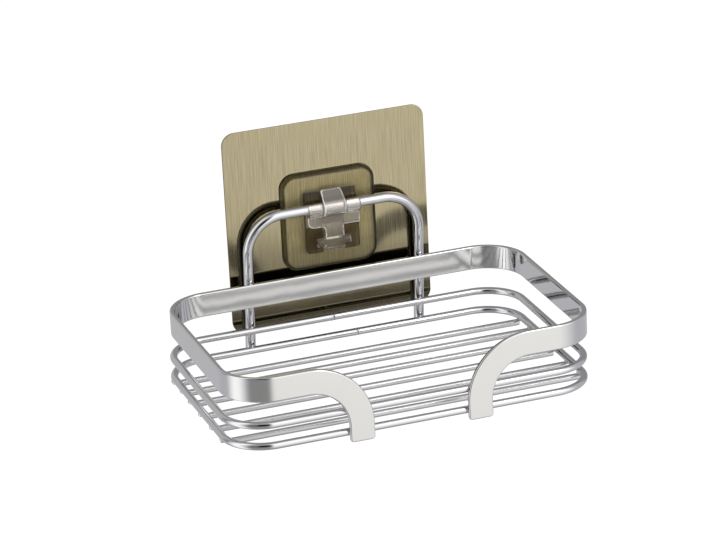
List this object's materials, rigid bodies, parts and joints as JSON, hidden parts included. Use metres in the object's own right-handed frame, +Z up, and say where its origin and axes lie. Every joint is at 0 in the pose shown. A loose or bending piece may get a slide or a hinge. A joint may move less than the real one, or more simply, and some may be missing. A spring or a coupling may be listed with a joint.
{
  "type": "soap dish",
  "caption": "Wall-mounted wire soap dish: an open basket with a flat rim band and wire floor hangs by a bent wire from a clear clip with a flip latch on a stick-on plate.",
  "frame": {"origin": "centre of the adhesive's back face, on the wall", "axes": "+X to the right for someone facing the wall, along the basket's width; +Y into the wall; +Z up"},
  "size_m": [0.1414, 0.098, 0.0892],
  "materials": {
    "adhesive": "clear tacky gel",
    "champagne_plate": "brushed champagne, vertical grain",
    "clear_plastic": "clear moulded",
    "chrome_wire": "polished chrome",
    "satin_band": "satin outside, polished inside"
  },
  "bodies": {
    "wall_mount": {"adhesive_sheet": "adhesive", "backing_plate": "champagne_plate", "clip_base": "clear_plastic"},
    "latch": {"clip_latch": "clear_plastic"},
    "basket": {"hanger": "chrome_wire", "rim_band": "satin_band", "upper_ring": "chrome_wire", "lower_ring": "chrome_wire", "floor_wire_1": "chrome_wire", "floor_wire_2": "chrome_wire", "floor_wire_3": "chrome_wire", "floor_wire_4": "chrome_wire", "floor_wire_5": "chrome_wire", "floor_wire_6": "chrome_wire"}
  },
  "joints": [
    {"name": "basket_swing", "type": "hinge", "parent": "wall_mount", "child": "basket", "pos_m": [0, -0.0084, 0.0077], "axis": [-1, 0, 0], "range_deg": [0, 110]},
    {"name": "latch_flip", "type": "hinge", "parent": "wall_mount", "child": "latch", "pos_m": [0, -0.0074, -0.0067], "axis": [1, 0, 0], "range_deg": [0, 90]}
  ]
}
